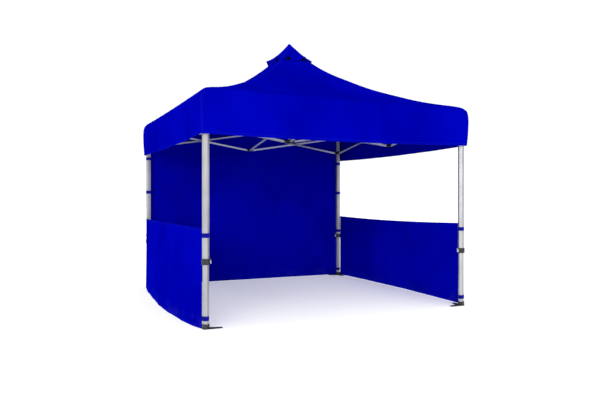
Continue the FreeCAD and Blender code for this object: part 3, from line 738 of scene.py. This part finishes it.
# where the rounding of the eave ends and the valance hangs straight
EAVE_END = ROOF_LENGTH + 0.12
BAND_START = HEM_LENGTH - HEM_BAND
valance_rows = np.concatenate((
    np.linspace(ROOF_LENGTH, EAVE_END, 12)[:-1], np.linspace(EAVE_END, BAND_START - 0.002, 14),
    (BAND_START, BAND_START + HEM_BAND / 2, HEM_LENGTH),
))
valance_columns = across_values(-1, 1, 111)
# the corner seam's half width
SEAM = 0.007


def valance_edge(distance, across):
    return min(HEM_LENGTH - distance, corner_distance(distance, across))


def valance_thickness(distance, across):
    sewn = distance >= BAND_START or corner_distance(distance, across) < SEAM
    return CLOTH * (2.4 if sewn else 1.0)


for quarter, side in enumerate(SIDES):
    grid = surface_grid(canopy_surface(quarter), valance_rows, valance_columns, valance_edge,
                        valance_thickness)
    valance = cloth_piece(f"valance_{side}", [grid], roof_cloth)
    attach(valance, f"upper_middle_{side}")
    turned((1, 0, 0), quarter)
    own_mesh(valance)
    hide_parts("canopy")


# ---- vent cap and the net below it -----------------------------------------------------------

CAP_HALF = CAP_HIGH.x
CAP_TIP = CAP_HIGH.z
CAP_EDGE = CAP_LOW.z - 0.032
CAP_TIP_HALF = 0.006
# the height of the hem's arches and their half width as a share of the side
ARCH, ARCH_HALF = 0.048, 0.27
# how far the loose back left corner lifts
CORNER_LIFT = 0.055
# where the hem turns down, and how far it goes down and in
TURN_START = 0.93
TURN_DOWN, TURN_IN = 0.015, 0.05
# where the cloth is doubled: from a share of the way down, and beside the corner seams
DOUBLED_FROM, DOUBLED_SEAM = 0.91, 0.955
# about how long a slope is, for the distance to its hem
CAP_REACH = 0.27


def cap_surface(quarter):
    """The cap over the vent: concave slopes whose hem turns down and in onto the roof. The hem is
    held down at corners and mid-sides, and arched between them."""

    def at(down, across):
        slope = min(1.0, down / TURN_START)
        turn = max(0.0, (down - TURN_START) / (1 - TURN_START))
        half = CAP_TIP_HALF + (CAP_HALF - CAP_TIP_HALF) * slope
        x, out = contour(across, half, 0.003 + 0.009 * slope)
        height = CAP_EDGE + (CAP_TIP - CAP_EDGE) * max(0.0, 1 - slope) ** 1.22
        off = abs(abs(across) - 0.5) / ARCH_HALF
        arch = ARCH * math.cos(off * math.pi / 2) ** 1.3 * slope**4 if off < 1 else 0.0
        point = np.array(turned((x, -out, height), quarter))
        corner_share = back_left_share(point, half)
        arch *= max(0.0, 1 - 4 * corner_share)
        lifted = corner_share * slope**2 * (1 - turn)
        point[:2] *= (1 - TURN_IN * turn) * (1 + 0.04 * lifted + 0.4 * arch)
        return point + UP * (arch + CORNER_LIFT * lifted - TURN_DOWN * turn)

    return at


def cap_edge(down, across):
    return min((1 - down) * CAP_REACH, (1 - abs(across)) * CAP_HALF * max(down, 0.05))


def cap_thickness(down, across):
    return CLOTH * (2.2 if down > DOUBLED_FROM or abs(across) > DOUBLED_SEAM else 1.0)


cap_rows = np.concatenate((np.linspace(0.0, 0.86, 22),
                           (0.895, 0.927, 0.934, 0.956, 0.978, 1.0)))
cap_columns = across_values(-1, 1, 41)
grids = [surface_grid(cap_surface(quarter), cap_rows, cap_columns, cap_edge, cap_thickness)
         for quarter in range(4)]
cap = cloth_piece("vent_cap_cloth", grids, roof_cloth)
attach(cap, "upper_mast")
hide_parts("vent_cap")

# the net's upper edge, under the cap, and its lower edge, just outside the vent
NET_TOP_HALF, NET_TOP = 0.118, 2.948
NET_LOW_HALF, NET_LOW = VENT_HALF + 0.004, VENT_HEIGHT - 0.004


def net_surface(quarter):
    """Net that closes the vent, from the roof's opening up to the underside of the cap."""

    def at(down, across):
        half = NET_TOP_HALF + (NET_LOW_HALF - NET_TOP_HALF) * down
        x, out = contour(across, half, 0.006)
        height = NET_TOP + (NET_LOW - NET_TOP) * down
        slack = 0.004 * math.sin(math.pi * down) * (1 - across**2)
        return np.array(turned((x, -out, height - slack), quarter))

    return at


grids = [
    surface_grid(net_surface(quarter), np.linspace(0, 1, 9), across_values(-1, 1, 25),
                 edge=lambda down, across: 0.05, thick=lambda down, across: 0.0006)
    for quarter in range(4)
]
net = cloth_piece("vent_net_band", grids, vent_net)
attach(net, "upper_mast")


# ---- walls -----------------------------------------------------------------------------------

WALL_HALF = 1.447
# how far a wall's ends are drawn in beside the legs
LEG_SIDE = 0.011
# the walls' lower edge
HEM_Z = 0.004
WALL_CLOTH, WALL_HEM = 0.0009, 0.0022
WALL_SHARES = np.concatenate((
    -1 + np.array((0, 0.5, 1, 1.1)) * HEM_BAND / WALL_HALF, np.linspace(-0.972, -0.94, 5)[:-1],
    np.linspace(-0.94, 0.94, 92), np.linspace(0.94, 0.972, 5)[1:],
    1 - np.array((1.1, 1, 0.5, 0)) * HEM_BAND / WALL_HALF,
))


def wall_piece(name, body, quarter, out, high, billow, top_sag):
    """A wall in the frame of its side. billow(share, up) is how far it stands out of its plane."""
    phase = 2.3 * quarter

    def surface(height, share):
        middle = max(0.0, 1 - share**2)
        up = (height - HEM_Z) / (high - HEM_Z)
        x = share * WALL_HALF
        stand = billow(share, up) - LEG_SIDE * max(0.0, (abs(share) - 0.90) / 0.10)
        held = min(1.0, 4 * middle)
        stand += held * (0.0032 * math.sin(5.1 * x + 1.3 * up + phase)
                         + 0.0024 * math.sin(12.7 * x - 2.0 * up + 2 * phase)
                         + 0.0012 * math.sin(27.0 * x + 3 * up)) * (1.1 - 0.6 * up)
        return np.array(turned((x, -(out + stand), height - top_sag * middle * up**2), quarter))

    low_band, high_band = HEM_Z + HEM_BAND, high - HEM_BAND
    rows = np.concatenate(((HEM_Z, HEM_Z + HEM_BAND / 2, low_band),
                           np.linspace(low_band + 0.002, high_band - 0.002, 34),
                           (high_band, high_band + HEM_BAND / 2, high)))

    def edge(height, share):
        return min(height - HEM_Z, high - height, WALL_HALF * (1 - abs(share)))

    def thick(height, share):
        return WALL_HEM if edge(height, share) < HEM_BAND + 1e-6 else WALL_CLOTH

    grid = surface_grid(surface, rows, WALL_SHARES, edge, thick)
    row_grid, share_grid = np.meshgrid(rows, WALL_SHARES, indexing="ij")
    grid["uv"] = np.stack((share_grid * WALL_HALF, row_grid), -1)
    piece = cloth_piece(name, [grid], wall_cloth)
    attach(piece, body)
    turned((1, 0, 0), quarter)
    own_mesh(piece)
    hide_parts(name.replace("_cloth", ""))


HALF_WALL_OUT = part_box("half_wall_right")[1].x
HALF_WALL_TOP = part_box("half_wall_right")[1].z
BACK_WALL_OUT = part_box("back_wall")[1].y
BACK_WALL_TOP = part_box("back_wall")[1].z


def left_billow(share, up):
    """Blown out at its foot, most a little forward of the middle. Share 1 is the front leg."""
    bell = max(0.0, 1 - share**2) ** 0.85 * (1 + 0.30 * share)
    return 0.109 * bell * max(0.0, 1 - up) ** 0.9


def right_billow(share, up):
    return 0.056 * max(0.0, 1 - share**2) ** 0.9 * max(0.0, 1 - up) ** 0.8


def back_billow(share, up):
    bulge = math.sin(math.pi * min(1.0, max(0.0, 0.15 + 0.8 * up)))
    return 0.018 * max(0.0, 1 - share**2) * bulge


wall_piece("half_wall_right_cloth", "upper_middle_right", 1, HALF_WALL_OUT, HALF_WALL_TOP,
           right_billow, top_sag=0.020)
wall_piece("half_wall_left_cloth", "upper_middle_left", 3, HALF_WALL_OUT, HALF_WALL_TOP,
           left_billow, top_sag=0.004)
wall_piece("back_wall_cloth", "upper_middle_back", 2, BACK_WALL_OUT, BACK_WALL_TOP,
           back_billow, top_sag=0.006)


# ---- straps ----------------------------------------------------------------------------------

STRAP_TALL, STRAP_THICK = 0.042, 0.0015
STRAP_TURNS, STRAP_STEPS = 1.36, 96
# the angle from the wall's side of the leg to the strap's inner end
STRAP_START = 0.35
# how far the strap's outer face stands off the leg, and how much more where it laps over itself
STRAP_OFF, LAP_OFF = 0.0019, 0.0018
STRAP_LEVELS = np.array((0, 0.003, 0.010, STRAP_TALL / 2, STRAP_TALL - 0.010, STRAP_TALL - 0.003,
                         STRAP_TALL))
TAB_STEPS = 5


def strap_path(centre, flats, start):
    """The strap's line in plan: more than once round a hexagonal leg, lapping over itself."""
    radius = flats / math.sqrt(3)
    out_angle = math.atan2(centre.y, centre.x)
    path = []
    for turn in np.linspace(0, STRAP_TURNS, STRAP_STEPS + 1):
        angle = start + STRAP_START + turn * math.tau
        # the angle from the middle of the nearest flat, with a corner of the hexagon on out_angle
        local = (angle - out_angle + math.pi / 6) % (math.pi / 3) - math.pi / 6
        local = abs(abs(local) - math.pi / 6)
        away = min(flats / 2 / math.cos(local), radius * 0.985)
        lap = min(1.0, max(0.0, (turn - 0.93) / 0.07))
        away += STRAP_OFF + LAP_OFF * lap
        path.append((centre.x + away * math.cos(angle), centre.y + away * math.sin(angle)))
    return np.array(path)


def strap_ring(path, bottom):
    """The part round the leg. Also returns its length."""
    tangents = np.gradient(path, axis=0)
    sides = np.stack((tangents[:, 1], -tangents[:, 0]), -1)
    sides /= np.linalg.norm(sides, axis=1)[:, None]
    bow = 0.0005 * np.sin(np.pi * STRAP_LEVELS / STRAP_TALL)
    steps = np.linalg.norm(np.diff(path, axis=0), axis=1)
    length = np.concatenate(([0], np.cumsum(steps)))
    shape = (len(STRAP_LEVELS), len(path))
    points, normals = np.zeros((*shape, 3)), np.zeros((*shape, 3))
    points[..., :2] = path[None] + sides[None] * bow[:, None, None]
    points[..., 2] = (bottom + STRAP_LEVELS)[:, None]
    normals[..., :2] = sides[None]
    edge = np.minimum(np.minimum(STRAP_LEVELS, STRAP_TALL - STRAP_LEVELS)[:, None],
                      np.minimum(length, length[-1] - length)[None, :])
    uv = np.stack(np.broadcast_arrays(length[None, :], STRAP_LEVELS[:, None]), -1)
    return {"points": points, "normals": normals, "uv": uv, "edge": edge,
            "thick": np.full(shape, STRAP_THICK)}, length[-1]


def strap_tab(first, last, beside, bottom, wall_axis):
    """The short flat web from the ring to the wall, along the wall's own axis."""
    shares = np.linspace(0, 1, TAB_STEPS)
    shape = (len(STRAP_LEVELS), TAB_STEPS)
    points, normals = np.zeros((*shape, 3)), np.zeros((*shape, 3))
    points[..., wall_axis] = first + (last - first) * shares
    points[..., 1 - wall_axis] = beside + 0.0007 + 0.002 * np.sin(np.pi * shares)
    points[..., 2] = (bottom + STRAP_LEVELS)[:, None]
    normals[..., 1 - wall_axis] = 1.0
    along = abs(last - first) * shares
    uv = np.stack(np.broadcast_arrays(along[None, :], STRAP_LEVELS[:, None]), -1)
    return {"points": points, "normals": normals, "uv": uv, "edge": np.full(shape, 0.01),
            "thick": np.full(shape, STRAP_THICK)}


def strap(name, corner, body, height, flats, wall_axis, wall_at):
    """A hook-and-loop strap round a leg, with its tab sewn to the wall at wall_at."""
    centre = centre_of(f"outer_leg_{corner}")
    start = math.atan2(0.0, centre.x) if wall_axis == 0 else math.atan2(centre.y, 0.0)
    bottom = height - STRAP_TALL / 2
    ring, ring_length = strap_ring(strap_path(centre, flats, start), bottom)
    first = math.copysign(abs(centre[wall_axis]) + flats / 2 + 0.0012, wall_at)
    tab = strap_tab(first, wall_at, centre[1 - wall_axis], bottom, wall_axis)
    piece = cloth_piece(name, [ring, tab], webbing)
    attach(piece, body)


# the leg tubes' widths across flats, and how far inside a wall's face its tabs are sewn
OUTER_FLATS, INNER_FLATS = 0.057, 0.051
SEAM_IN = 0.001
STRAP_HEIGHTS = {"foot": 0.097, "counter": 0.855, "knee": 0.693, "chest": 1.280, "head": 1.735}
for corner in CORNERS:
    at_front = corner.startswith("front")
    wall_axis = 0 if at_front else 1
    wall_out = HALF_WALL_OUT if at_front else BACK_WALL_OUT
    wall_at = math.copysign(wall_out - SEAM_IN, centre_of(f"outer_leg_{corner}")[wall_axis])
    strap(f"strap_foot_{corner}", corner, f"inner_leg_{corner}", STRAP_HEIGHTS["foot"],
          INNER_FLATS, wall_axis, wall_at)
    for place in ("counter",) if at_front else ("knee", "chest", "head"):
        strap(f"strap_{place}_{corner}", corner, f"leg_{corner}", STRAP_HEIGHTS[place],
              OUTER_FLATS, wall_axis, wall_at)


# ---- floor, light and camera -----------------------------------------------------------------


def floor_material():
    nodes = Nodes("pale_floor")
    tone = nodes.mixed(nodes.ranged(nodes.noise(0.6, 2.0), 0.3, 0.7), (0.93, 0.93, 0.93, 1),
                       (0.955, 0.955, 0.955, 1))
    return nodes.finish(Base_Color=tone, Roughness=0.9, Specular_IOR_Level=0.0,
                        Emission_Color=(1.0, 1.0, 1.0, 1), Emission_Strength=0.32,
                        Normal=nodes.bump(nodes.noise(40.0, 4.0), 0.04, 0.002))


def round_floor(radius=70.0, sides=96, height=-0.0005):
    """A wide disc just below the feet."""
    angles = [number * math.tau / sides for number in range(sides)]
    rim = [(radius * math.cos(angle), radius * math.sin(angle), height) for angle in angles]
    mesh = bpy.data.meshes.new("floor")
    mesh.from_pydata(rim, [], [tuple(range(sides))])
    mesh.materials.append(floor_material())
    floor = bpy.data.objects.new("floor", mesh)
    bpy.context.scene.collection.objects.link(floor)


def studio_world(low_strength, high_strength):
    """White light from all round, a little stronger near the horizon than overhead."""
    world = bpy.data.worlds.new("studio")
    bpy.context.scene.world = world
    world.use_nodes = True
    tree = world.node_tree
    background = tree.nodes["Background"]
    direction = tree.nodes.new("ShaderNodeTexCoord")
    split = tree.nodes.new("ShaderNodeSeparateXYZ")
    fade = tree.nodes.new("ShaderNodeMapRange")
    tree.links.new(direction.outputs["Generated"], split.inputs[0])
    tree.links.new(split.outputs[2], fade.inputs["Value"])
    for key, value in (("From Min", 0.05), ("From Max", 0.9), ("To Min", low_strength),
                       ("To Max", high_strength)):
        fade.inputs[key].default_value = value
    tree.links.new(fade.outputs[0], background.inputs["Strength"])
    background.inputs["Color"].default_value = (1.0, 1.0, 1.0, 1)


def aimed(name, data, towards):
    """A light or camera that looks along a direction."""
    thing = bpy.data.objects.new(name, data)
    thing.rotation_mode = "QUATERNION"
    thing.rotation_quaternion = Vector(towards).to_track_quat("-Z", "Y")
    bpy.context.scene.collection.objects.link(thing)
    return thing


def soft_sun(name, towards, strength, spread):
    light = bpy.data.lights.new(name, "SUN")
    light.energy = strength
    light.angle = math.radians(spread)
    aimed(name, light, towards)


round_floor()
studio_world(1.10, 0.90)
soft_sun("key", (0.62, 0.74, -0.16), 1.15, 35)
soft_sun("top", (0.15, 0.25, -1.0), 0.35, 60)

camera_data = bpy.data.cameras.new("camera")
camera_data.lens = 35.5
camera_data.sensor_width = 36.0
camera_data.clip_end = 300
camera = aimed("camera", camera_data, (0.412, 0.911, -0.002))
camera.location = (-2.903, -6.742, 1.190)
bpy.context.scene.camera = camera
bpy.context.scene.view_settings.view_transform = "Standard"
